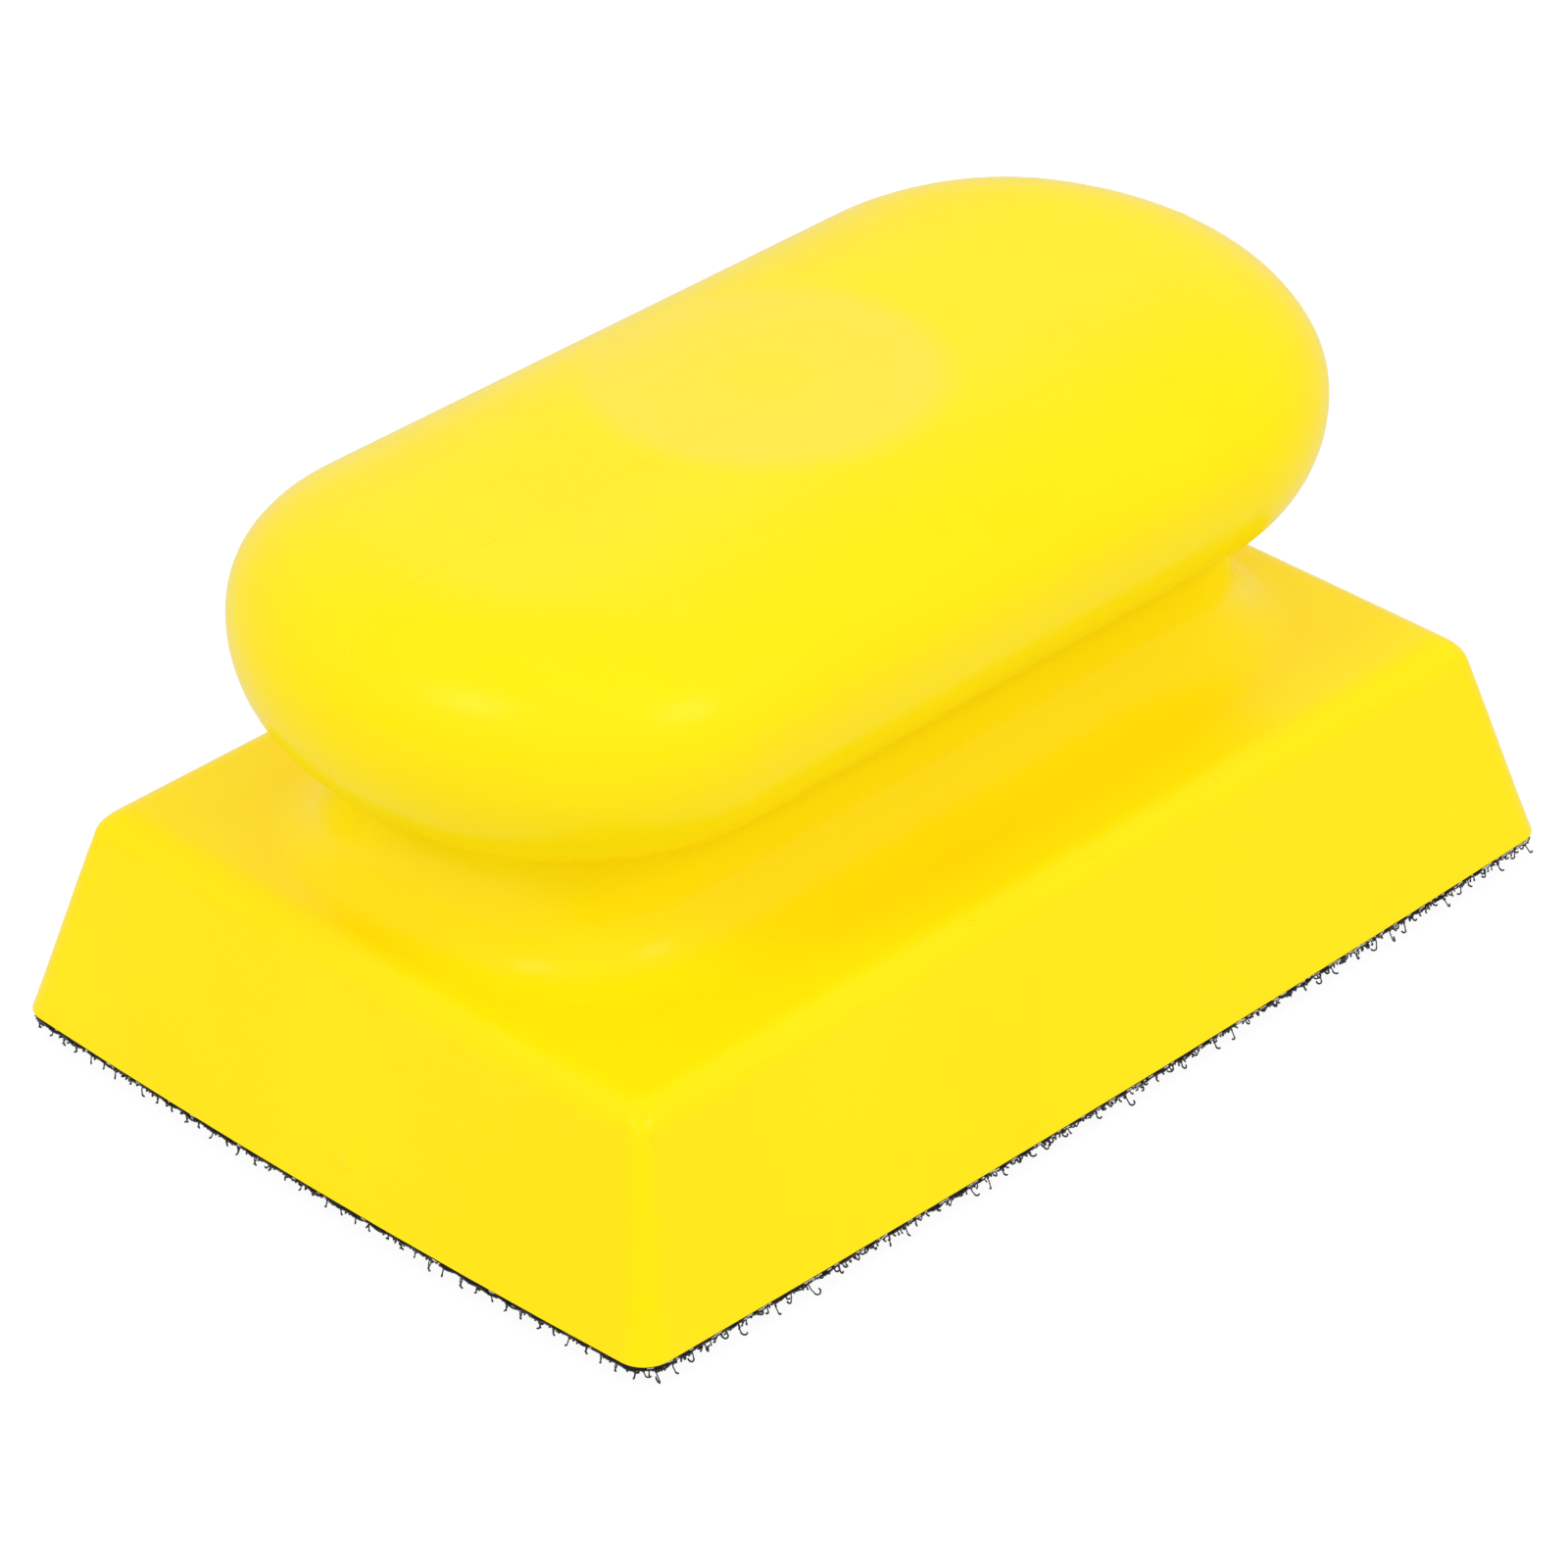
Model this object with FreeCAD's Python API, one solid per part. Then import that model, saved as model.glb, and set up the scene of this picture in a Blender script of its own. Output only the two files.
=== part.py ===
import FreeCAD, Part
import math
import os

# Hand float block for rubbing down floors and joints: a one-piece polyurethane moulding (tapered
# base, waisted neck and palm grip) on a sole of hook tape.  Millimetres.  +X runs along the block,
# +Z points up, and the origin is the middle of the sole, level with the tips of the hooks.

# ---- driving dimensions ------------------------------------------------------------------------
LENGTH = 125.0               # over the moulding's lower edge, at the middle of the short sides
WIDTH = 85.5                 # over the moulding's lower edge, at the middle of the long sides

PILE_HEIGHT = 1.9            # hooks, from the tape down to their tips
TAPE_THICKNESS = 0.5         # woven ground of the hook tape
ADHESIVE_THICKNESS = 0.15    # bond between the tape and the moulding
TAPE_MARGIN = 0.25           # the tape is trimmed this far inside the moulding's edge
ADHESIVE_MARGIN = 0.5        # the bond stops just short of the tape's cut edge
PILE_MARGIN = 0.8            # the outermost hooks stand this far inside the moulding's edge

BASE_HEIGHT = 22.0
BASE_TAPER = 6.85            # each side would lean in this far if it ran up to the base's top
END_BOW = 1.0                # the short sides swell out this much at their middle
SIDE_BOW = 0.8               # and the long sides this much
CORNER_RADIUS_LOW = 3.2      # upright corners, at the bottom
CORNER_RADIUS_HIGH = 1.6     # upright corners, at the top
SHOULDER_RADIUS = 3.5        # from the base's sides over to its top

# Outlines in plan: half length, half width, radius of the end's nose, radius of the end's corners.
FOOT_OUTLINE = (52.4, 27.5, 85.0, 18.0)
NECK_OUTLINE = (47.8, 20.0, 80.0, 12.5)
UNDERSIDE_OUTLINE = (45.9, 18.9, 30.0, 18.0)
BELLY_OUTLINE = (58.6, 30.0, 34.4, 24.8)
CREST_OUTLINE = (43.9, 8.7, 14.3, 4.7)

# Levels above the moulding's lower face.
UNDERSIDE_LEVEL = 33.9       # the grip's lower rounding heads for this level
BELLY_LEVEL = 46.6           # where the grip is widest
GRIP_TOP = 58.0
FLARE_HEIGHT = 6.0           # hollow sweep from the base's top up to the neck's wall
LOWER_TURN = math.radians(67)  # how far the lower rounding turns before the throat's hollow
UPPER_FULLNESS = 2.2         # 2 would round the grip's top as an ellipse; more is fuller

# ---- heights of the layers ---------------------------------------------------------------------
TAPE_BOTTOM = PILE_HEIGHT
ADHESIVE_BOTTOM = TAPE_BOTTOM + TAPE_THICKNESS
MOULDING_BOTTOM = ADHESIVE_BOTTOM + ADHESIVE_THICKNESS

# ---- steps in the lofted surfaces --------------------------------------------------------------
FLARE_STEPS = 6
THROAT_STEPS = 4
LOWER_ROUNDING_STEPS = 8
UPPER_ROUNDING_STEPS = 9


def point(x, y, z):
    return FreeCAD.Vector(x, y, z)


def corners(half_length, half_width, z):
    """Four corners of a rectangle, anticlockwise from -X -Y."""
    return [
        point(-half_length, -half_width, z),
        point(half_length, -half_width, z),
        point(half_length, half_width, z),
        point(-half_length, half_width, z),
    ]


def rectangle(half_length, half_width, z):
    """Closed outline with straight sides."""
    ring = corners(half_length, half_width, z)
    sides = [Part.LineSegment(ring[i], ring[(i + 1) % 4]).toShape() for i in range(4)]
    return Part.Wire(sides)


def bowed_rectangle(margin, z):
    """The moulding's lower outline moved in by margin: four shallow arcs that meet in corners."""
    half_length = LENGTH / 2 - margin
    half_width = WIDTH / 2 - margin
    ring = corners(half_length - END_BOW, half_width - SIDE_BOW, z)
    middles = [
        point(0, -half_width, z),
        point(half_length, 0, z),
        point(0, half_width, z),
        point(-half_length, 0, z),
    ]
    sides = [Part.Arc(ring[i], middles[i], ring[(i + 1) % 4]).toShape() for i in range(4)]
    return Part.Wire(sides)


def round_ended_outline(outline, z):
    """Straight sides, and ends made of a corner arc, a nose arc and a corner arc, all tangent."""
    half_length, half_width, nose, corner = outline
    nose_x = half_length - nose
    corner_y = half_width - corner
    corner_x = nose_x + math.sqrt((nose - corner) ** 2 - corner_y ** 2)
    join_angle = math.atan2(corner_y, corner_x - nose_x)
    mid_angle = (join_angle + math.pi / 2) / 2
    join_x = nose_x + nose * math.cos(join_angle)
    join_y = nose * math.sin(join_angle)
    mid_x = corner_x + corner * math.cos(mid_angle)
    mid_y = corner_y + corner * math.sin(mid_angle)

    edges = []
    for end in (1, -1):
        side_end = point(end * corner_x, -end * half_width, z)
        first_mid = point(end * mid_x, -end * mid_y, z)
        first_join = point(end * join_x, -end * join_y, z)
        tip = point(end * half_length, 0, z)
        second_join = point(end * join_x, end * join_y, z)
        second_mid = point(end * mid_x, end * mid_y, z)
        next_side = point(end * corner_x, end * half_width, z)
        edges.append(Part.LineSegment(point(-end * corner_x, -end * half_width, z), side_end))
        edges.append(Part.Arc(side_end, first_mid, first_join))
        edges.append(Part.Arc(first_join, tip, second_join))
        edges.append(Part.Arc(second_join, second_mid, next_side))
    return Part.Wire([edge.toShape() for edge in edges])


def blend(start, end, share):
    """Outline part of the way from start to end."""
    return tuple(a + (b - a) * share for a, b in zip(start, end))


def lower_rounding(angle):
    """Level and outline where the grip's lower rounding has turned by angle below the belly."""
    level = BELLY_LEVEL - (BELLY_LEVEL - UNDERSIDE_LEVEL) * math.sin(angle)
    return level, blend(BELLY_OUTLINE, UNDERSIDE_OUTLINE, 1 - math.cos(angle))


def upper_rounding(angle):
    """Level and outline at one step of the grip's upper rounding, from 0 at the belly to pi / 2."""
    rise = math.sin(angle) ** (2 / UPPER_FULLNESS)
    reach = math.cos(angle) ** (2 / UPPER_FULLNESS)
    level = BELLY_LEVEL + (GRIP_TOP - BELLY_LEVEL) * rise
    return level, blend(BELLY_OUTLINE, CREST_OUTLINE, 1 - reach)


def flare_sections():
    """From the base's top up to the neck's wall."""
    sections = []
    for i in range(FLARE_STEPS + 1):
        angle = math.pi / 2 * i / FLARE_STEPS
        level = BASE_HEIGHT + FLARE_HEIGHT * (1 - math.cos(angle))
        sections.append((level, blend(FOOT_OUTLINE, NECK_OUTLINE, math.sin(angle))))
    return sections


def throat_sections():
    """From the neck's wall out to where the grip's lower rounding begins, at the same slope."""
    top_level, top_outline = lower_rounding(LOWER_TURN)
    slope = math.atan2(
        (BELLY_OUTLINE[1] - UNDERSIDE_OUTLINE[1]) * math.sin(LOWER_TURN),
        (BELLY_LEVEL - UNDERSIDE_LEVEL) * math.cos(LOWER_TURN),
    )
    radius = (top_outline[1] - NECK_OUTLINE[1]) / (1 - math.cos(slope))
    sections = []
    for i in range(THROAT_STEPS):
        angle = slope * i / THROAT_STEPS
        level = top_level - radius * (math.sin(slope) - math.sin(angle))
        share = (1 - math.cos(angle)) / (1 - math.cos(slope))
        sections.append((level, blend(NECK_OUTLINE, top_outline, share)))
    return sections


def grip_sections():
    """From the throat up past the belly, the grip's widest level, to the flat crest."""
    sections = []
    for i in range(LOWER_ROUNDING_STEPS):
        sections.append(lower_rounding(LOWER_TURN * (1 - i / LOWER_ROUNDING_STEPS)))
    for i in range(UPPER_ROUNDING_STEPS + 1):
        sections.append(upper_rounding(math.pi / 2 * i / UPPER_ROUNDING_STEPS))
    return sections


def neck_and_grip():
    """The waisted neck and the palm grip, lofted through level sections from foot to crest."""
    sections = flare_sections() + throat_sections() + grip_sections()
    wires = [round_ended_outline(outline, level) for level, outline in sections]
    return Part.makeLoft(wires, True)


def round_edges(shape, radii):
    """Fillet edges; radii holds (edge number, radius at its start, radius at its end)."""
    document = FreeCAD.newDocument()
    plain = document.addObject("Part::Feature", "plain")
    plain.Shape = shape
    rounded = document.addObject("Part::Fillet", "rounded")
    rounded.Base = plain
    rounded.Edges = radii
    document.recompute()
    result = rounded.Shape.copy()
    FreeCAD.closeDocument(document.Name)
    return result


def tapered_base():
    """Block with leaning sides, softened upright corners and a rounded shoulder."""
    lower = bowed_rectangle(0, 0)
    upper = rectangle(LENGTH / 2 - BASE_TAPER, WIDTH / 2 - BASE_TAPER, BASE_HEIGHT)
    block = Part.makeLoft([lower, upper], True, True)
    radii = []
    for number, edge in enumerate(block.Edges, 1):
        levels = [vertex.Point.z for vertex in edge.Vertexes]
        if min(levels) > 0.5 * BASE_HEIGHT:
            radii.append((number, SHOULDER_RADIUS, SHOULDER_RADIUS))
        elif levels[0] < levels[1]:
            radii.append((number, CORNER_RADIUS_LOW, CORNER_RADIUS_HIGH))
        elif levels[0] > levels[1]:
            radii.append((number, CORNER_RADIUS_HIGH, CORNER_RADIUS_LOW))
    return round_edges(block, radii)


def moulded_body():
    """One moulding: the base and the neck and grip are the same material with no seam."""
    body = tapered_base().fuse(neck_and_grip()).removeSplitter()
    body.translate(point(0, 0, MOULDING_BOTTOM))
    return body


def sole_sheet(margin, bottom, thickness):
    """A layer of the sole: the moulding's lower outline moved in by margin, corners rounded."""
    face = Part.Face(bowed_rectangle(margin, bottom))
    sheet = face.extrude(point(0, 0, thickness))
    upright = [edge for edge in sheet.Edges if edge.BoundBox.ZLength > 0.5 * thickness]
    return sheet.makeFillet(CORNER_RADIUS_LOW - margin, upright)


def export(node, shape):
    solid = shape.Solids[0]
    solid.exportStep(os.path.join("parts", node + ".step"))
    print(node, "valid" if solid.isValid() else "NOT VALID", round(solid.Volume / 1000, 2), "cm3")


os.makedirs("parts", exist_ok=True)
export("moulded_body", moulded_body())
export("adhesive_film", sole_sheet(ADHESIVE_MARGIN, ADHESIVE_BOTTOM, ADHESIVE_THICKNESS))
export("hook_tape_backing", sole_sheet(TAPE_MARGIN, TAPE_BOTTOM, TAPE_THICKNESS))
export("hook_pile", sole_sheet(PILE_MARGIN, 0, PILE_HEIGHT))
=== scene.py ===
import math
import random

import bmesh
import bpy
from mathutils import Matrix, Quaternion, Vector
from mathutils.bvhtree import BVHTree


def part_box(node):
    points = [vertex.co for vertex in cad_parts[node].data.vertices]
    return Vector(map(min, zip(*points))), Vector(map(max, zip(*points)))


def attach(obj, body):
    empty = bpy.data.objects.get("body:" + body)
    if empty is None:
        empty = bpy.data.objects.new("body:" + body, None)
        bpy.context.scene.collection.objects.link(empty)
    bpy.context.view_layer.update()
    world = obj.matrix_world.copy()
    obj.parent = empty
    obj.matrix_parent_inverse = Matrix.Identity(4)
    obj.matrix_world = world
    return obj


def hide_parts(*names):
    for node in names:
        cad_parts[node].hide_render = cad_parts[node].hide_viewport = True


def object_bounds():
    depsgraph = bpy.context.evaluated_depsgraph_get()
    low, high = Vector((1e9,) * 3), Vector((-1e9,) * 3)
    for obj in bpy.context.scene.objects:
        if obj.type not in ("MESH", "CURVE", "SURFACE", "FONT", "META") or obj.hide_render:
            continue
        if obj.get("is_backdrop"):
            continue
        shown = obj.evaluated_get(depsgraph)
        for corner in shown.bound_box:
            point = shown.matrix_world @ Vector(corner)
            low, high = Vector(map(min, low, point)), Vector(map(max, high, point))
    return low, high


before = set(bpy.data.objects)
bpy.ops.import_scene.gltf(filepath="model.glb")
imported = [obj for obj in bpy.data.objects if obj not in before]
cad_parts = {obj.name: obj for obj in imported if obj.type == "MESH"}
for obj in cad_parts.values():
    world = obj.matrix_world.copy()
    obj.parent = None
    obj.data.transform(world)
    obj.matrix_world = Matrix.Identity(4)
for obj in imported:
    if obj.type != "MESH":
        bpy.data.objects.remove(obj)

# Looks of the hand float block: a yellow polyurethane moulding on a sole of black hook tape.
# Metres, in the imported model's frame; MM turns the millimetres used below into metres.

cad_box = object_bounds()
MM = 0.001

# ---- camera ------------------------------------------------------------------------------------
CAMERA_AZIMUTH = math.radians(-45.143)
CAMERA_ELEVATION = math.radians(32.351)
CAMERA_ROLL = math.radians(-0.629)
CAMERA_TARGET = Vector((-8.878, -7.667, 24.989)) * MM
CAMERA_DISTANCE = 718.6 * MM
CAMERA_LENS = 177.16

# ---- hook tape ---------------------------------------------------------------------------------
SIDE_BOW = 0.8 * MM             # how far the tape's long edges swell out at their middle
END_BOW = 1.0 * MM              # and its short edges

HOOK_PITCH_X = 2.1 * MM
HOOK_PITCH_Y = 1.93 * MM
HOOK_ROOT_MARGIN = 0.55 * MM    # the outermost hooks are rooted this far inside the tape's edge
HOOK_ROOT_DEPTH = 0.12 * MM     # and each starts this far up in the tape
SHORTEST_STALK = 0.1 * MM
STALK_RADIUS = 0.065 * MM       # filament, drawn thinner towards its root
FOOT_RADIUS = 0.09 * MM         # filament at the hook's bend
TIP_RADIUS = FOOT_RADIUS * 0.8  # and at its cut tip
STALK_SHARES = (0.3, 0.65, 1.0)
STALK_BOW = 0.1                 # how far a stalk bows out, as a share of its length
FILAMENT_SIDES = 6
BEND_STEPS = 6
INNER_SIDES = 4                 # hooks away from the edges are coarser
INNER_BEND_STEPS = 4

# What random draws are taken from, as (lowest, highest): lengths in millimetres, angles in radians.
# A hook's form is its length, its bend's radius and how far the bend turns.
ROOT_JITTER = (-0.2, 0.2)
FIELD_HOOK = ((1.6, 2.0), (0.24, 0.32), (1.9, 3.0))
END_HOOK = ((1.0, 1.35), (0.16, 0.24), (1.3, 1.9))
SIDE_HOOK = ((0.85, 1.7), (0.18, 0.36), (2.0, 4.2))
END_LEAN = (0.05, 0.35)
SIDE_LEAN = (-0.2, 0.8)
FIELD_LEAN_SPREAD = 0.12        # standard deviations, in radians
HEADING_SPREAD = 0.5
SECOND_FOOT_SPREAD = 0.4
SECOND_FOOT_SHARE = 0.75        # of the hooks along the short edges have a foot to each side
SECOND_FOOT_LENGTH = (0.8, 1.0)  # as a share of the first foot's
SECOND_FOOT_SIZE = 0.8          # its bend and turn, likewise

LONG_SIDE_FACING = 0.7          # the Y part of a level direction that faces a long side
CUT_HOOK_STEP = 0.5 * MM
CUT_HOOKS_ALONG_SIDES = 0.95    # share of the steps that hold a stub
CUT_HOOKS_ALONG_ENDS = 0.3
CUT_HOOK_INSET = (0.0, 0.35)
CUT_HOOK_ROOT_RISE = 0.1 * MM
CUT_HOOK_AT_SIDE = (0.3, 0.65)
CUT_HOOK_AT_END = (0.3, 0.5)
CUT_HOOK_BEND = (0.12, 0.3)
CUT_HOOK_LEAN = (-0.2, 1.0)
CUT_HOOK_TURN = (0.6, 3.2)

YARN_STEP = 0.42 * MM           # spacing of the cut yarn ends along the tape's edge
YARN_ROOT_DEPTH = 0.15 * MM
YARN_BELOW_TOP = 0.15 * MM      # no yarn end starts nearer than this to the tape's upper face
YARN_DROP = (-1.6, 0.1)         # slope of a yarn end, falling to rising
YARN_LENGTH = (0.2, 0.42)
YARN_RADIUS = (0.11, 0.2)
YARN_TAPER = ((0, 1), (0.6, 0.9), (1, 0.45))  # share of its length, share of its radius

THREAD_STEP = 0.25 * MM
THREAD_RADIUS = 0.1 * MM
THREAD_WAVES = ((0.55, 0.12), (0.083, 0.1))  # radians a step, and millimetres up and down
THREAD_JITTER = (-0.04, 0.04)
THREAD_DROP = 0.08              # millimetres below the middle of the tape's edge
THREAD_AWAY = 0.1               # and out from it, with a slow wave of its own
THREAD_AWAY_TURN = 0.37
THREAD_AWAY_WAVE = 0.06

FLECK_STEP = 0.3 * MM
FLECKS_ALONG_SIDES = 0.3        # share of the steps that hold a fleck
FLECKS_ALONG_ENDS = 0.04
FLECK_HALF_LENGTH = (0.12, 0.4)
FLECK_STAND_OFF = (0.16, 0.26)
FLECK_DROP = (0.0, 0.12)
FLECK_RADIUS = (0.05, 0.085)
FLECK_TAPER = ((-1, 0.4), (-0.5, 1), (0.5, 1), (1, 0.4))  # share of half length, share of radius

# ---- moulding marks ----------------------------------------------------------------------------
# Painted reflection: the patch is a pale round patch on the crest that stands in for a round lamp's
# reflection.
PATCH_CENTRE = Vector((0.6, 3.7, 60.5)) * MM
PATCH_RADIUS = 17.5 * MM
PATCH_FADE = ((0.0, 0.5), (0.22, 0.88), (0.42, 1.0), (0.55, 0.0))  # share of diameter, strength

PARTING_STEP = 0.4 * MM
PARTING_START = 0.3 * MM        # the line stops this far above the moulding's lower face
PARTING_HALF_WIDTH = 0.16 * MM
PARTING_HEIGHT = 0.05 * MM
PARTING_PROFILE = ((-1, -0.3), (-0.55, 0.6), (0, 1), (0.55, 0.6), (1, -0.3))
PARTING_WAVER = 0.3             # share of its height that comes and goes along it
PARTING_WAVER_TURNS = (0.11, 0.037)  # radians a step
PARTING_TRIMMED_BELOW = 34 * MM  # under the grip the line has been scraped nearly flush
PARTING_LEFT = 0.3              # share of its height that the scraping left
PROBE_REACH = 0.4 * MM          # how far off the skin a point is tried, to tell inside from outside

BLISTERS = (                    # x, y and radius in millimetres
    (-28.6, -36.2, 0.34),
    (-21.5, -35.0, 0.26),
    (-12.6, -35.4, 0.42),
    (3.2, -35.6, 0.3),
    (15.5, -36.0, 0.24),
    (20.5, -35.2, 0.3),
    (-54.6, -35.3, 0.36),
    (-33.0, 35.6, 0.3),
    (-9.4, 36.0, 0.36),
    (8.8, 35.2, 0.25),
    (27.7, 35.8, 0.33),
)
BLISTER_WIDTH = 0.85            # a bubble's other radius and its height, as shares of its radius
BLISTER_HEIGHT = 0.35
GATE_Y = -3.3 * MM
GATE_Z = 7.1 * MM
GATE_HALF_WIDTHS = (1.7 * MM, 1.15 * MM)
GATE_HEIGHT = 0.12 * MM
CAP_RINGS = 4
CAP_SIDES = 14
CAP_SUNK = 0.3                  # a dome's foot is this share of its height below the skin
OUTSIDE = 0.2                   # metres from the middle, past everything

# ---- colours -----------------------------------------------------------------------------------
YELLOW = ((0.978, 0.758, 0.0022), (0.988, 0.776, 0.0036))
# Pale yellow painted onto the crest as the reflection of a round lamp.
PAINTED_REFLECTION_YELLOW = (0.96, 0.745, 0.045)
ADHESIVE_HAZE = ((0.62, 0.60, 0.50), (0.80, 0.78, 0.68))
BLACK_WEAVE = ((0.006, 0.006, 0.007), (0.022, 0.022, 0.025))
BLACK_FILAMENT = ((0.004, 0.004, 0.005), (0.040, 0.037, 0.046))
FLOOR_GREY = ((0.095, 0.095, 0.095), (0.105, 0.105, 0.105))

# ---- studio ------------------------------------------------------------------------------------
FRONT = Vector((-0.71, -0.70, 0))  # level direction of the studio's front
FRONT_FADE = 0.5                # how far along FRONT, either way, the front blends into the back
SKY_STRENGTH = 1.3
# Each surround is (height, brightness) stops, from the horizon, 0, to overhead, 1.
SKY_IN_FRONT = ((0.02, 0.4), (0.3, 0.7), (0.65, 0.97), (1.0, 0.79))
SKY_BEHIND = ((0.02, 0.95), (0.25, 0.72), (0.65, 0.46), (1.0, 0.7))
# As a glossy skin sees the sky: dark flags in front, and a bright band part of the way up behind.
MIRRORED_IN_FRONT = ((0.0, 0.12), (1.0, 0.12))
MIRRORED_BEHIND = ((0.02, 0.6), (0.25, 0.62), (0.5, 0.92), (0.72, 0.88), (0.86, 0.3), (1.0, 0.25))
FLOOR_GLOW = 0.93               # light-table floor, as the lens sees it
FLOOR_GLOW_MATT = 0.8           # as matt surfaces see it
FLOOR_GLOW_MIRRORED = 0.65      # and as a glossy skin sees it
FLOOR_RADIUS = 2.5
LIGHTS_AIM = Vector((0, 0, 0.04))
SOFTBOX_DISTANCE = 0.9
SOFTBOX_SIZE = 0.24
SOFTBOX_WATTS = 0.95

rng = random.Random(7)


# ---- mesh helpers ------------------------------------------------------------------------------
def new_object(name, bm, material):
    """Piece from a bmesh, smooth shaded, riding on the block, with the given material in its one
    slot.
    """
    mesh = bpy.data.meshes.new(name)
    bm.to_mesh(mesh)
    bm.free()
    mesh.polygons.foreach_set("use_smooth", [True] * len(mesh.polygons))
    mesh.materials.append(material)
    obj = bpy.data.objects.new(name, mesh)
    bpy.context.scene.collection.objects.link(obj)
    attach(obj, "root")
    return obj


def tube(bm, path, radii, side, sides=FILAMENT_SIDES):
    """Closed tube along a path that lies in or near the plane across side."""
    rings = []
    for i, centre in enumerate(path):
        ahead = path[min(i + 1, len(path) - 1)] - path[max(i - 1, 0)]
        across = side.cross(ahead).normalized()
        ring = []
        for k in range(sides):
            angle = 2 * math.pi * k / sides
            offset = side * math.cos(angle) + across * math.sin(angle)
            ring.append(bm.verts.new(centre + offset * radii[i]))
        rings.append(ring)
    for low, high in zip(rings, rings[1:]):
        for k in range(sides):
            after = (k + 1) % sides
            bm.faces.new((low[k], low[after], high[after], high[k]))
    bm.faces.new(rings[0][::-1])
    bm.faces.new(rings[-1])


def section_loop(node, origin, normal):
    """Ordered points where a plane cuts a CAD node whose cut is one closed loop."""
    bm = bmesh.new()
    bm.from_mesh(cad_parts[node].data)
    bmesh.ops.remove_doubles(bm, verts=bm.verts, dist=1e-6)
    geometry = bm.verts[:] + bm.edges[:] + bm.faces[:]
    cut = bmesh.ops.bisect_plane(bm, geom=geometry, plane_co=origin, plane_no=normal, dist=1e-7)
    edges = [item for item in cut["geom_cut"] if isinstance(item, bmesh.types.BMEdge)]
    neighbours = {}
    for edge in edges:
        a, b = edge.verts
        neighbours.setdefault(a, []).append(b)
        neighbours.setdefault(b, []).append(a)
    start = edges[0].verts[0]
    loop = [start]
    previous, here = None, start
    while True:
        onward = [vert for vert in neighbours[here] if vert is not previous]
        previous, here = here, onward[0]
        if here is start:
            break
        loop.append(here)
    points = [vert.co.copy() for vert in loop]
    bm.free()
    return points


def resample(points, step):
    """Points along an open chain, step apart."""
    result = [points[0]]
    wanted = step
    walked = 0.0
    for a, b in zip(points, points[1:]):
        length = (b - a).length
        while walked + length >= wanted:
            result.append(a.lerp(b, (wanted - walked) / length))
            wanted += step
        walked += length
    return result


# ---- materials ---------------------------------------------------------------------------------
def new_material(name):
    """Principled material with a tree to add to: (material, nodes, links, shader)."""
    material = bpy.data.materials.new(name)
    material.use_nodes = True
    nodes = material.node_tree.nodes
    return material, nodes, material.node_tree.links, nodes["Principled BSDF"]


def noise(nodes, links, scale, detail=2.0, roughness=0.5):
    """Noise in object space; scale is in waves per metre."""
    place = nodes.new("ShaderNodeTexCoord")
    texture = nodes.new("ShaderNodeTexNoise")
    texture.inputs["Scale"].default_value = scale
    texture.inputs["Detail"].default_value = detail
    texture.inputs["Roughness"].default_value = roughness
    links.new(place.outputs["Object"], texture.inputs["Vector"])
    return texture.outputs["Fac"]


def spread(nodes, links, value, low, high):
    """Map a noise's usual span onto low to high."""
    node = nodes.new("ShaderNodeMapRange")
    node.inputs["From Min"].default_value = 0.3
    node.inputs["From Max"].default_value = 0.7
    node.inputs["To Min"].default_value = low
    node.inputs["To Max"].default_value = high
    links.new(value, node.inputs["Value"])
    return node.outputs["Result"]


def mix_colours(nodes, links, share, first, second):
    """Colour part of the way from first to second, each a plain colour or a node's output."""
    node = nodes.new("ShaderNodeMix")
    node.data_type = "RGBA"
    links.new(share, node.inputs["Factor"])
    for name, colour in (("A", first), ("B", second)):
        if isinstance(colour, tuple):
            node.inputs[name].default_value = (*colour, 1)
        else:
            links.new(colour, node.inputs[name])
    return node.outputs["Result"]


def bump(nodes, links, height, distance, strength, below=None):
    """Surface direction for a height; below is the coarser bump that this one lies on."""
    node = nodes.new("ShaderNodeBump")
    node.inputs["Distance"].default_value = distance
    node.inputs["Strength"].default_value = strength
    links.new(height, node.inputs["Height"])
    if below is not None:
        links.new(below, node.inputs["Normal"])
    return node.outputs["Normal"]


def ramp(nodes, links, value, stops):
    """Smooth curve through (value, result) stops."""
    node = nodes.new("ShaderNodeValToRGB")
    node.color_ramp.interpolation = "EASE"
    elements = node.color_ramp.elements
    (elements[0].position, first), (elements[1].position, last) = stops[0], stops[-1]
    elements[0].color = (first, first, first, 1)
    elements[1].color = (last, last, last, 1)
    for position, result in stops[1:-1]:
        elements.new(position).color = (result, result, result, 1)
    links.new(value, node.inputs["Fac"])
    return node.outputs["Color"]


def painted_reflection_patch(nodes, links):
    """Faint pale round patch on the crest: a painted reflection of a round lamp, fainter in its
    middle.
    """
    place = nodes.new("ShaderNodeTexCoord")
    offset = nodes.new("ShaderNodeVectorMath")
    offset.operation = "DISTANCE"
    offset.inputs[1].default_value = PATCH_CENTRE
    links.new(place.outputs["Object"], offset.inputs[0])
    reach = nodes.new("ShaderNodeMath")
    reach.operation = "DIVIDE"
    reach.inputs[1].default_value = 2 * PATCH_RADIUS
    links.new(offset.outputs["Value"], reach.inputs[0])
    return ramp(nodes, links, reach.outputs["Value"], PATCH_FADE)


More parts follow.
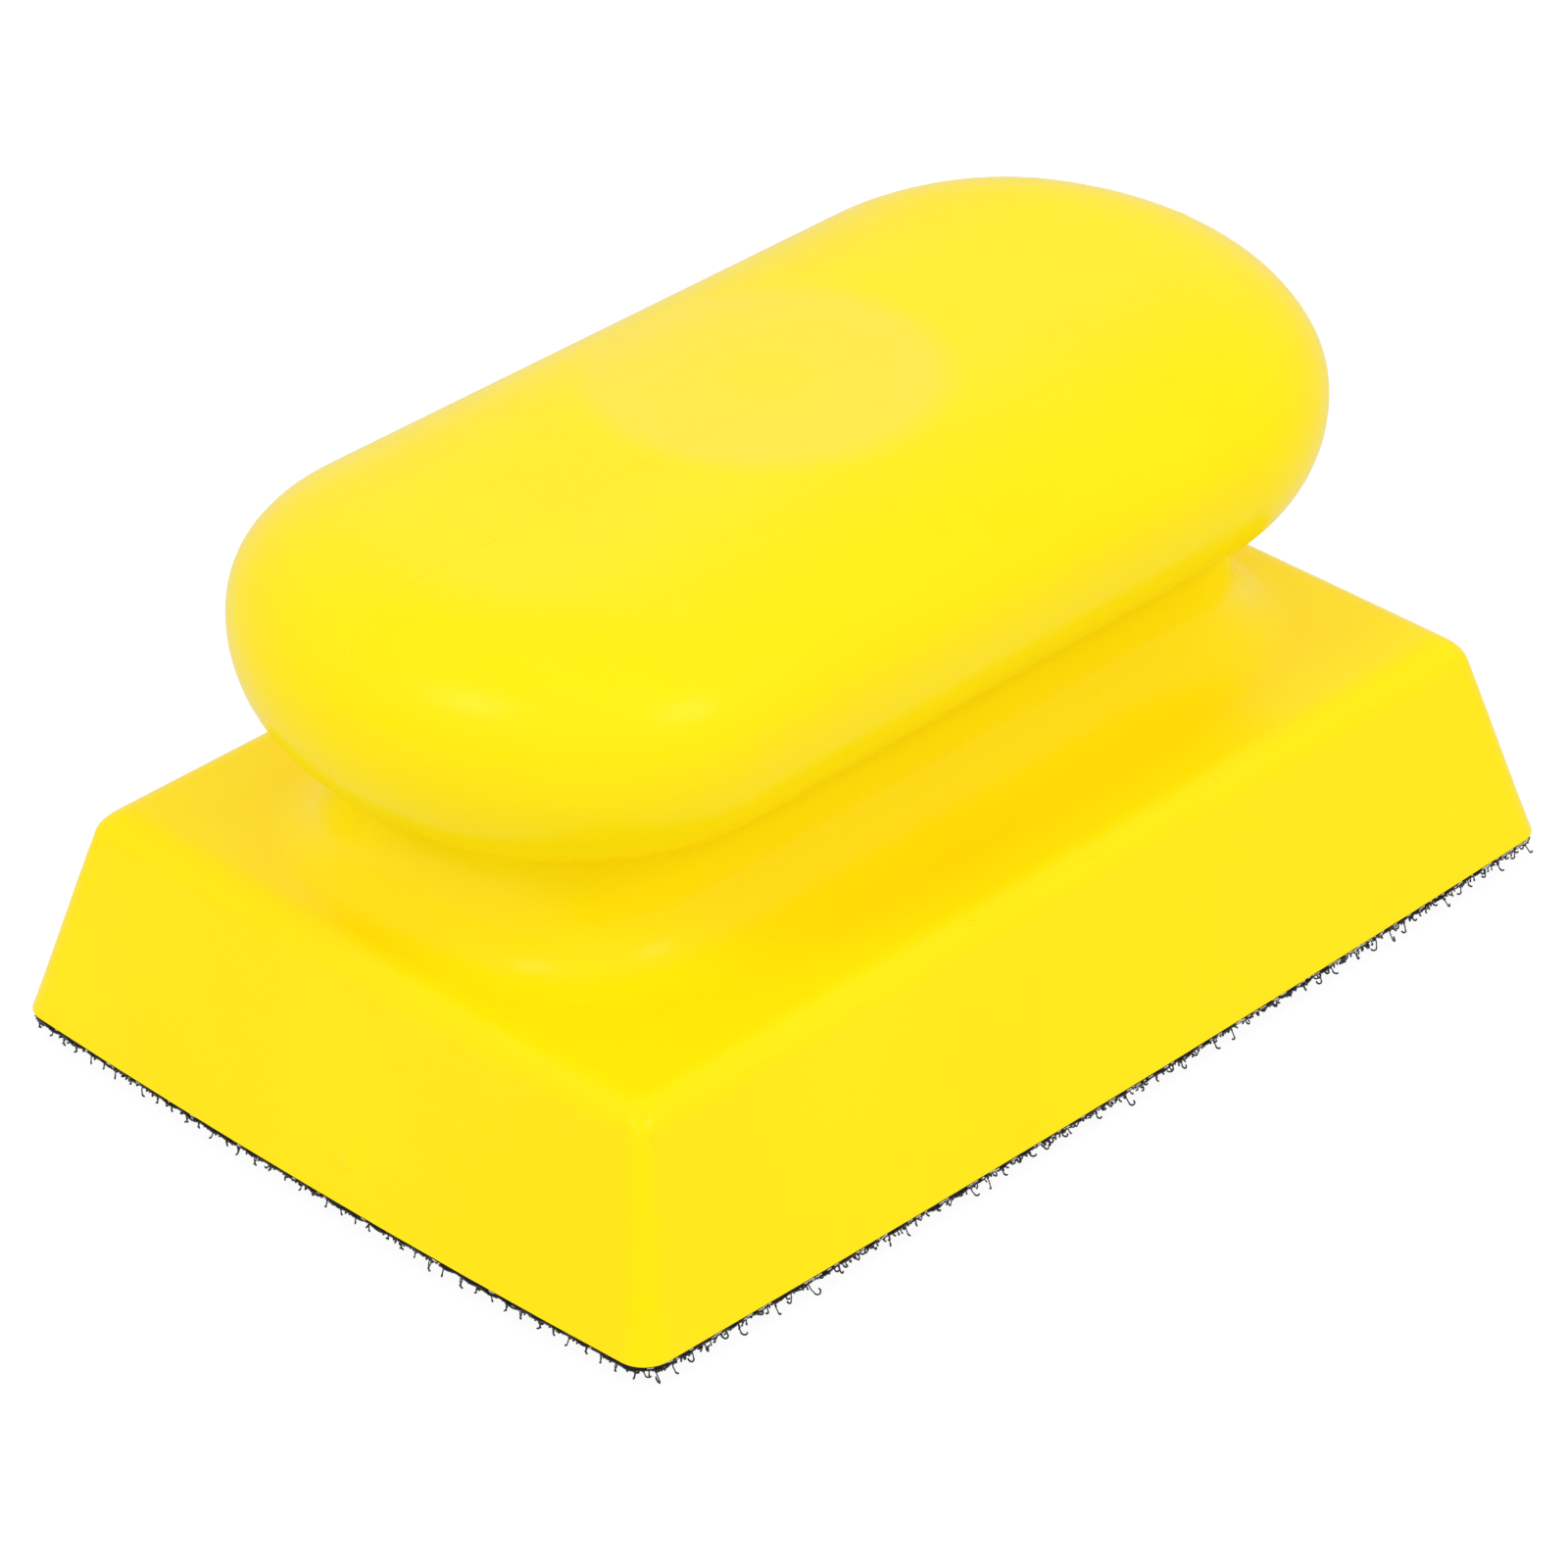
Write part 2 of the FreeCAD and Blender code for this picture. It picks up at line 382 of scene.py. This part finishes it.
def polyurethane():
    """Self-skinned yellow polyurethane: faint cloudiness, satin skin, fine grain, soft waves."""
    material, nodes, links, shader = new_material("yellow_polyurethane")
    clouds = spread(nodes, links, noise(nodes, links, 45, detail=3.0), 0, 1)
    base_yellow = mix_colours(nodes, links, clouds, *YELLOW)
    # Painted reflection: the crest is paled in a ring where a round lamp would be mirrored.
    colour = mix_colours(nodes, links, painted_reflection_patch(nodes, links), base_yellow, PAINTED_REFLECTION_YELLOW)
    satin = spread(nodes, links, noise(nodes, links, 320, detail=3.0), 0.21, 0.27)
    links.new(colour, shader.inputs["Base Color"])
    links.new(satin, shader.inputs["Roughness"])
    shader.inputs["IOR"].default_value = 1.5
    shader.inputs["Specular IOR Level"].default_value = 0.1
    waves = bump(nodes, links, noise(nodes, links, 70), 0.25 * MM, 0.08)
    grain = bump(nodes, links, noise(nodes, links, 3800, detail=3.0), 0.03 * MM, 0.5, waves)
    links.new(grain, shader.inputs["Normal"])
    return material


def adhesive():
    """Clear acrylic film with trapped haze."""
    material, nodes, links, shader = new_material("clear_adhesive")
    haze = spread(nodes, links, noise(nodes, links, 900, detail=4.0), 0, 1)
    smear = spread(nodes, links, noise(nodes, links, 1500), 0.12, 0.35)
    ripple = bump(nodes, links, noise(nodes, links, 2500), 0.02 * MM, 0.5)
    links.new(mix_colours(nodes, links, haze, *ADHESIVE_HAZE), shader.inputs["Base Color"])
    links.new(smear, shader.inputs["Roughness"])
    links.new(ripple, shader.inputs["Normal"])
    shader.inputs["Transmission Weight"].default_value = 0.6
    return material


def woven_nylon():
    """Black plain weave: two crossing sets of bands, each 0.9 mm from band to band."""
    material, nodes, links, shader = new_material("black_woven_nylon")
    place = nodes.new("ShaderNodeTexCoord")
    weave = nodes.new("ShaderNodeMath")
    weave.operation = "MULTIPLY"
    for i, axis in enumerate("XY"):
        wave = nodes.new("ShaderNodeTexWave")
        wave.wave_type = "BANDS"
        wave.bands_direction = axis
        wave.inputs["Scale"].default_value = 350.0
        wave.inputs["Distortion"].default_value = 0.6
        wave.inputs["Detail"].default_value = 1.0
        links.new(place.outputs["Object"], wave.inputs["Vector"])
        links.new(wave.outputs["Fac"], weave.inputs[i])
    height = weave.outputs["Value"]
    scuffs = spread(nodes, links, noise(nodes, links, 2600), 0.45, 0.7)
    links.new(mix_colours(nodes, links, height, *BLACK_WEAVE), shader.inputs["Base Color"])
    links.new(scuffs, shader.inputs["Roughness"])
    links.new(bump(nodes, links, height, 0.12 * MM, 0.8), shader.inputs["Normal"])
    return material


def nylon_filament():
    """Dyed nylon monofilament: near black, a little uneven, glossy where it isn't scuffed."""
    material, nodes, links, shader = new_material("black_nylon_hooks")
    dye = spread(nodes, links, noise(nodes, links, 420, detail=3.0), 0, 1)
    scuffs = spread(nodes, links, noise(nodes, links, 3000), 0.22, 0.42)
    pits = bump(nodes, links, noise(nodes, links, 9000), 0.01 * MM, 0.4)
    links.new(mix_colours(nodes, links, dye, *BLACK_FILAMENT), shader.inputs["Base Color"])
    links.new(scuffs, shader.inputs["Roughness"])
    links.new(pits, shader.inputs["Normal"])
    return material


def seen_by(nodes, links, ray, otherwise, value):
    """One value for rays of a kind; for all others a number or what another node gives."""
    node = nodes.new("ShaderNodeMapRange")
    if isinstance(otherwise, float):
        node.inputs["To Min"].default_value = otherwise
    else:
        links.new(otherwise, node.inputs["To Min"])
    node.inputs["To Max"].default_value = value
    links.new(ray, node.inputs["Value"])
    return node.outputs["Result"]


def studio_floor():
    """White light-table acrylic: it glows, so that the background stays white."""
    material, nodes, links, shader = new_material("studio_floor")
    tone = spread(nodes, links, noise(nodes, links, 14), 0, 1)
    links.new(mix_colours(nodes, links, tone, *FLOOR_GREY), shader.inputs["Base Color"])
    shader.inputs["Roughness"].default_value = 0.7
    shader.inputs["Specular IOR Level"].default_value = 0.1
    shader.inputs["Emission Color"].default_value = (1, 1, 1, 1)
    path = nodes.new("ShaderNodeLightPath")
    glow = seen_by(nodes, links, path.outputs["Is Diffuse Ray"], FLOOR_GLOW, FLOOR_GLOW_MATT)
    glow = seen_by(nodes, links, path.outputs["Is Glossy Ray"], glow, FLOOR_GLOW_MIRRORED)
    links.new(glow, shader.inputs["Emission Strength"])
    return material


# ---- the sole ----------------------------------------------------------------------------------
def between(span):
    """Random length within a span given in millimetres."""
    return rng.uniform(*span) * MM


def hook_form(spans):
    """Random length, bend and turn within their spans."""
    length, bend, turn = spans
    return between(length), between(bend), rng.uniform(*turn)


def hook_profile(form, steps):
    """A cut loop in its own plane: x along its heading and z down from the tape's underside."""
    length, bend, turn = form
    stalk = max(length - bend, SHORTEST_STALK)
    bow = STALK_BOW * stalk
    points = [Vector((0, 0, HOOK_ROOT_DEPTH))]
    for share in STALK_SHARES:
        points.append(Vector((-bow * math.sin(math.pi * share), 0, -stalk * share)))
    for i in range(1, steps + 1):
        angle = turn * i / steps
        reach = bend * (1 - math.cos(angle))
        points.append(Vector((reach, 0, -stalk - bend * math.sin(angle))))
    return points


def add_hook(bm, root, heading, lean_direction, lean, form, inner=False):
    """One hook: its profile turned to its heading, leaned over, and kept above the floor."""
    yaw = Matrix.Rotation(heading, 3, "Z")
    lean_axis = Vector((-math.sin(lean_direction), math.cos(lean_direction), 0))
    turned = Matrix.Rotation(-lean, 3, lean_axis) @ yaw
    side = turned @ Vector((0, 1, 0))
    steps, sides = (INNER_BEND_STEPS, INNER_SIDES) if inner else (BEND_STEPS, FILAMENT_SIDES)
    path = [root + turned @ p for p in hook_profile(form, steps)]
    lowest = min(p.z for p in path) - FOOT_RADIUS
    if lowest < 0:
        squeeze = root.z / (root.z - lowest)
        path = [Vector((p.x, p.y, root.z + (p.z - root.z) * squeeze)) for p in path]
    stalk_points = 1 + len(STALK_SHARES)
    bend_radii = [FOOT_RADIUS] * (steps - 1) + [TIP_RADIUS]
    tube(bm, path, [STALK_RADIUS] * stalk_points + bend_radii, side, sides)


def hook_places():
    """Each hook's root, whether it is at an end or a side, and 1 or -1 as it faces +Y or -Y."""
    low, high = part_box("hook_tape_backing")
    length_x = high.x - low.x - 2 * HOOK_ROOT_MARGIN
    length_y = high.y - low.y - 2 * HOOK_ROOT_MARGIN
    columns = round(length_x / HOOK_PITCH_X)
    rows = round(length_y / HOOK_PITCH_Y)
    for i in range(columns + 1):
        for j in range(rows + 1):
            at_end = i in (0, columns)
            at_side = j in (0, rows)
            if at_end and at_side:
                continue
            x = low.x + HOOK_ROOT_MARGIN + length_x * i / columns + between(ROOT_JITTER)
            y = low.y + HOOK_ROOT_MARGIN + length_y * j / rows + between(ROOT_JITTER)
            side_drawn_in = SIDE_BOW * (x / high.x) ** 2 if at_side else 0
            end_drawn_in = END_BOW * (y / high.y) ** 2 if at_end else 0
            x -= math.copysign(end_drawn_in, x)
            y -= math.copysign(side_drawn_in, y)
            yield Vector((x, y, low.z)), at_end, at_side, 1 if (i + j) % 2 else -1


def hooks(material):
    """Rows of hooks over the whole sole; the outer ones splay over the tape's edge."""
    bm = bmesh.new()
    for root, at_end, at_side, way in hook_places():
        heading = math.pi / 2 * way + rng.gauss(0, HEADING_SPREAD)
        outward = math.atan2(root.y if at_side else 0, root.x if at_end else 0)
        lean = rng.gauss(0, FIELD_LEAN_SPREAD)
        form = hook_form(FIELD_HOOK)
        if at_end:
            lean = rng.uniform(*END_LEAN)
            form = hook_form(END_HOOK)
        if at_side:
            lean = rng.uniform(*SIDE_LEAN)
            form = hook_form(SIDE_HOOK)
        add_hook(bm, root, heading, outward, lean, form, inner=not (at_end or at_side))
        if at_end and rng.random() < SECOND_FOOT_SHARE:
            length, bend, turn = form
            heading += math.pi + rng.gauss(0, SECOND_FOOT_SPREAD)
            length *= rng.uniform(*SECOND_FOOT_LENGTH)
            smaller = (length, bend * SECOND_FOOT_SIZE, turn * SECOND_FOOT_SIZE)
            add_hook(bm, root, heading, outward, lean, smaller)
    piece = new_object("hooks", bm, material)
    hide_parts("hook_pile")
    return piece


def along_tape_edge(step):
    """Points round the tape's cut edge, halfway up it, each with the level direction outward."""
    low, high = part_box("hook_tape_backing")
    level = (low.z + high.z) / 2
    loop = section_loop("hook_tape_backing", Vector((0, 0, level)), Vector((0, 0, 1)))
    points = resample(loop + [loop[0]], step)
    places = []
    for i, point in enumerate(points):
        run = points[(i + 1) % len(points)] - points[i - 1]
        across = Vector((run.y, -run.x, 0)).normalized()
        places.append((point, across if across.dot(point) > 0 else -across))
    return places


def faces_long_side(outward):
    """Whether a level direction is within about 45 degrees of +Y or -Y."""
    return abs(outward.y) > LONG_SIDE_FACING


def cut_hooks(material):
    """Stubs of the hooks that the blade cut through, thickest along the long sides."""
    low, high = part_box("hook_tape_backing")
    bm = bmesh.new()
    for point, outward in along_tape_edge(CUT_HOOK_STEP):
        at_side = faces_long_side(outward)
        if rng.random() > (CUT_HOOKS_ALONG_SIDES if at_side else CUT_HOOKS_ALONG_ENDS):
            continue
        root = point - outward * between(CUT_HOOK_INSET)
        root.z = low.z + CUT_HOOK_ROOT_RISE
        direction = math.atan2(outward.y, outward.x)
        length = between(CUT_HOOK_AT_SIDE if at_side else CUT_HOOK_AT_END)
        bend = between(CUT_HOOK_BEND)
        lean = rng.uniform(*CUT_HOOK_LEAN)
        heading = direction + rng.uniform(-math.pi, math.pi)
        form = (length, bend, rng.uniform(*CUT_HOOK_TURN))
        add_hook(bm, root, heading, direction, lean, form)
    return new_object("cut_hooks", bm, material)


def yarn_ends(material):
    """Cut ends of the tape's yarns, standing out of its edge by a hair."""
    low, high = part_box("hook_tape_backing")
    bm = bmesh.new()
    for point, outward in along_tape_edge(YARN_STEP):
        side = Vector((0, 0, 1)).cross(outward)
        aim = (outward + Vector((0, 0, rng.uniform(*YARN_DROP)))).normalized()
        length = between(YARN_LENGTH)
        radius = between(YARN_RADIUS)
        start = point - outward * YARN_ROOT_DEPTH
        start.z = rng.uniform(low.z, high.z - YARN_BELOW_TOP)
        path = [start + aim * length * along for along, _ in YARN_TAPER]
        tube(bm, path, [radius * share for _, share in YARN_TAPER], side)
    return new_object("tape_edge_yarns", bm, material)


def edge_thread(material):
    """The thread that runs along the tape's edge, wandering up and down through its cut yarns."""
    path = []
    for i, (point, outward) in enumerate(along_tape_edge(THREAD_STEP)):
        swing = sum(math.sin(i * turn) * height for turn, height in THREAD_WAVES)
        swing += rng.uniform(*THREAD_JITTER)
        away = THREAD_AWAY + math.cos(i * THREAD_AWAY_TURN) * THREAD_AWAY_WAVE
        spot = point + outward * away * MM
        spot.z += (swing - THREAD_DROP) * MM
        path.append(spot)
    bm = bmesh.new()
    tube(bm, path, [THREAD_RADIUS] * len(path), Vector((0, 0, 1)))
    return new_object("tape_edge_thread", bm, material)


def glue_flecks(material):
    """Flecks of adhesive squeezed out over the tape's edge, most of them along the long sides."""
    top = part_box("hook_tape_backing")[1].z
    bm = bmesh.new()
    for point, outward in along_tape_edge(FLECK_STEP):
        if rng.random() > (FLECKS_ALONG_SIDES if faces_long_side(outward) else FLECKS_ALONG_ENDS):
            continue
        half = Vector((outward.y, -outward.x, 0)) * between(FLECK_HALF_LENGTH)
        middle = point + outward * between(FLECK_STAND_OFF)
        middle.z = top - between(FLECK_DROP)
        radius = between(FLECK_RADIUS)
        path = [middle + half * along for along, _ in FLECK_TAPER]
        tube(bm, path, [radius * share for _, share in FLECK_TAPER], outward)
    return new_object("adhesive_flecks", bm, material)


# ---- marks on the moulding ---------------------------------------------------------------------
def parting_chain():
    """Evenly spaced points up one end of the moulding, over the grip and down the other end."""
    loop = section_loop("moulded_body", Vector((0, 0, 0)), Vector((0, 1, 0)))
    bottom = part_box("moulded_body")[0].z + PARTING_START
    start = max(range(len(loop)), key=lambda i: (loop[i].z < bottom, loop[i].x))
    loop = loop[start:] + loop[:start]
    return resample([p for p in loop if p.z > bottom], PARTING_STEP)


def parting_line(material):
    """Fine raised line where the two mould halves met, round the block's middle plane."""
    points = parting_chain()
    bm = bmesh.new()
    rows = []
    for i, point in enumerate(points):
        run = points[min(i + 1, len(points) - 1)] - points[max(i - 1, 0)]
        across = Vector((run.z, 0, -run.x)).normalized()
        probe = point + across * PROBE_REACH
        nearest, normal, _, _ = body_tree.find_nearest(probe)
        if (probe - nearest).dot(normal) < 0:
            across = -across
        waver = math.prod(math.sin(i * turn) for turn in PARTING_WAVER_TURNS)
        height = PARTING_HEIGHT * (1 - PARTING_WAVER + PARTING_WAVER * waver)
        height *= 1.0 if point.z > PARTING_TRIMMED_BELOW else PARTING_LEFT
        row = []
        for share, rise in PARTING_PROFILE:
            offset = Vector((0, share * PARTING_HALF_WIDTH, 0)) + across * rise * height
            row.append(bm.verts.new(point + offset))
        rows.append(row)
    for low, high in zip(rows, rows[1:]):
        for k in range(len(PARTING_PROFILE) - 1):
            bm.faces.new((low[k], low[k + 1], high[k + 1], high[k]))
    bmesh.ops.recalc_face_normals(bm, faces=bm.faces)
    return new_object("parting_line", bm, material)


def add_cap(bm, centre, normal, half_widths, height):
    """A low dome on the surface."""
    turn = Vector((0, 0, 1)).rotation_difference(normal)
    outer = None
    for r in range(CAP_RINGS):
        polar = math.pi / 2 * (1 - r / CAP_RINGS)
        rise = height * ((1 + CAP_SUNK) * math.cos(polar) - CAP_SUNK)
        ring = []
        for k in range(CAP_SIDES):
            angle = 2 * math.pi * k / CAP_SIDES
            x = half_widths[0] * math.sin(polar) * math.cos(angle)
            y = half_widths[1] * math.sin(polar) * math.sin(angle)
            ring.append(bm.verts.new(centre + turn @ Vector((x, y, rise))))
        if outer:
            for k in range(CAP_SIDES):
                after = (k + 1) % CAP_SIDES
                bm.faces.new((outer[k], outer[after], ring[after], ring[k]))
        outer = ring
    top = bm.verts.new(centre + turn @ Vector((0, 0, height)))
    for k in range(CAP_SIDES):
        bm.faces.new((outer[k], outer[(k + 1) % CAP_SIDES], top))


def blisters(material):
    """Small raised bubbles in the skin, most of them along the long sides' shoulders."""
    bm = bmesh.new()
    for x, y, radius in BLISTERS:
        above = Vector((x * MM, y * MM, OUTSIDE))
        spot, normal, _, _ = body_tree.ray_cast(above, Vector((0, 0, -1)))
        radius *= MM
        add_cap(bm, spot, normal, (radius, radius * BLISTER_WIDTH), radius * BLISTER_HEIGHT)
    return new_object("skin_blisters", bm, material)


def gate_mark(material):
    """Low oval scar on the end face, where the filling hole was trimmed."""
    bm = bmesh.new()
    start = Vector((-OUTSIDE, GATE_Y, GATE_Z))
    spot, normal, _, _ = body_tree.ray_cast(start, Vector((1, 0, 0)))
    add_cap(bm, spot, normal, GATE_HALF_WIDTHS, GATE_HEIGHT)
    return new_object("gate_mark", bm, material)


# ---- camera, lights and surround ---------------------------------------------------------------
def make_camera():
    """Long lens on the block's near corner, from above; azimuth 0 looks along +Y."""
    data = bpy.data.cameras.new("camera")
    data.sensor_width = 36.0
    data.lens = CAMERA_LENS
    data.clip_start = 0.01
    data.clip_end = 20.0
    camera = bpy.data.objects.new("camera", data)
    back = Vector(
        (
            math.sin(CAMERA_AZIMUTH) * math.cos(CAMERA_ELEVATION),
            -math.cos(CAMERA_AZIMUTH) * math.cos(CAMERA_ELEVATION),
            math.sin(CAMERA_ELEVATION),
        )
    )
    camera.location = CAMERA_TARGET + back * CAMERA_DISTANCE
    camera.rotation_mode = "QUATERNION"
    level = (-back).to_track_quat("-Z", "Y")
    camera.rotation_quaternion = level @ Quaternion((0, 0, 1), CAMERA_ROLL)
    bpy.context.scene.collection.objects.link(camera)
    bpy.context.scene.camera = camera


def make_light(name, azimuth, elevation):
    """Softbox aimed at the grip; azimuth is turned from +X towards +Y, in degrees."""
    data = bpy.data.lights.new(name, "AREA")
    data.shape = "SQUARE"
    data.size = SOFTBOX_SIZE
    data.energy = SOFTBOX_WATTS
    light = bpy.data.objects.new(name, data)
    a, e = math.radians(azimuth), math.radians(elevation)
    direction = Vector((math.cos(a) * math.cos(e), math.sin(a) * math.cos(e), math.sin(e)))
    light.location = LIGHTS_AIM + direction * SOFTBOX_DISTANCE
    light.rotation_mode = "QUATERNION"
    light.rotation_quaternion = (-direction).to_track_quat("-Z", "Y")
    bpy.context.scene.collection.objects.link(light)


def surround(nodes, links, height, frontness, behind, in_front):
    """Brightness of the surround, from one ramp over height behind and another in front."""
    far = ramp(nodes, links, height, behind)
    near = ramp(nodes, links, height, in_front)
    return mix_colours(nodes, links, frontness, far, near)


def make_world():
    """Pale surround: in front it is brightest high up, behind it is brightest at the horizon."""
    world = bpy.data.worlds.new("studio")
    bpy.context.scene.world = world
    world.use_nodes = True
    nodes, links = world.node_tree.nodes, world.node_tree.links
    place = nodes.new("ShaderNodeTexCoord")
    split = nodes.new("ShaderNodeSeparateXYZ")
    links.new(place.outputs["Generated"], split.inputs["Vector"])
    along_front = nodes.new("ShaderNodeVectorMath")
    along_front.operation = "DOT_PRODUCT"
    along_front.inputs[1].default_value = FRONT
    links.new(place.outputs["Generated"], along_front.inputs[0])
    share = nodes.new("ShaderNodeMapRange")
    share.interpolation_type = "SMOOTHSTEP"
    share.inputs["From Min"].default_value = -FRONT_FADE
    share.inputs["From Max"].default_value = FRONT_FADE
    links.new(along_front.outputs["Value"], share.inputs["Value"])
    height, frontness = split.outputs["Z"], share.outputs["Result"]
    lighting = surround(nodes, links, height, frontness, SKY_BEHIND, SKY_IN_FRONT)
    mirrored = surround(nodes, links, height, frontness, MIRRORED_BEHIND, MIRRORED_IN_FRONT)
    path = nodes.new("ShaderNodeLightPath")
    seen = mix_colours(nodes, links, path.outputs["Is Glossy Ray"], lighting, mirrored)
    background = nodes["Background"]
    background.inputs["Strength"].default_value = SKY_STRENGTH
    links.new(seen, background.inputs["Color"])


def make_floor(material):
    """Round floor at the level that the block stands on."""
    mesh = bpy.data.meshes.new("studio_floor")
    bm = bmesh.new()
    bmesh.ops.create_circle(bm, cap_ends=True, segments=96, radius=FLOOR_RADIUS)
    bm.to_mesh(mesh)
    bm.free()
    mesh.materials.append(material)
    floor = bpy.data.objects.new("studio_floor", mesh)
    bpy.context.scene.collection.objects.link(floor)
    floor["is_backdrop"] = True


# ---- build -------------------------------------------------------------------------------------
def dress(node, material):
    """Give a CAD node its finished material."""
    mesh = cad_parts[node].data
    mesh.materials.clear()
    mesh.materials.append(material)


skin = polyurethane()
weave = woven_nylon()
filament = nylon_filament()
body_tree = BVHTree.FromObject(
    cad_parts["moulded_body"], bpy.context.evaluated_depsgraph_get()
)

make_camera()
make_world()
make_floor(studio_floor())
make_light("softbox_end", azimuth=178, elevation=46)
make_light("softbox_side", azimuth=-80, elevation=42)

dress("moulded_body", skin)
glue = adhesive()
dress("adhesive_film", glue)
dress("hook_tape_backing", weave)

sole = [hooks(filament), cut_hooks(filament), yarn_ends(weave), edge_thread(filament)]
glue_flecks(glue)
parting_line(skin)
blisters(skin)
gate_mark(skin)

bpy.context.scene.view_settings.view_transform = "Standard"

[[list(corner) for corner in box] for box in (cad_box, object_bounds())]
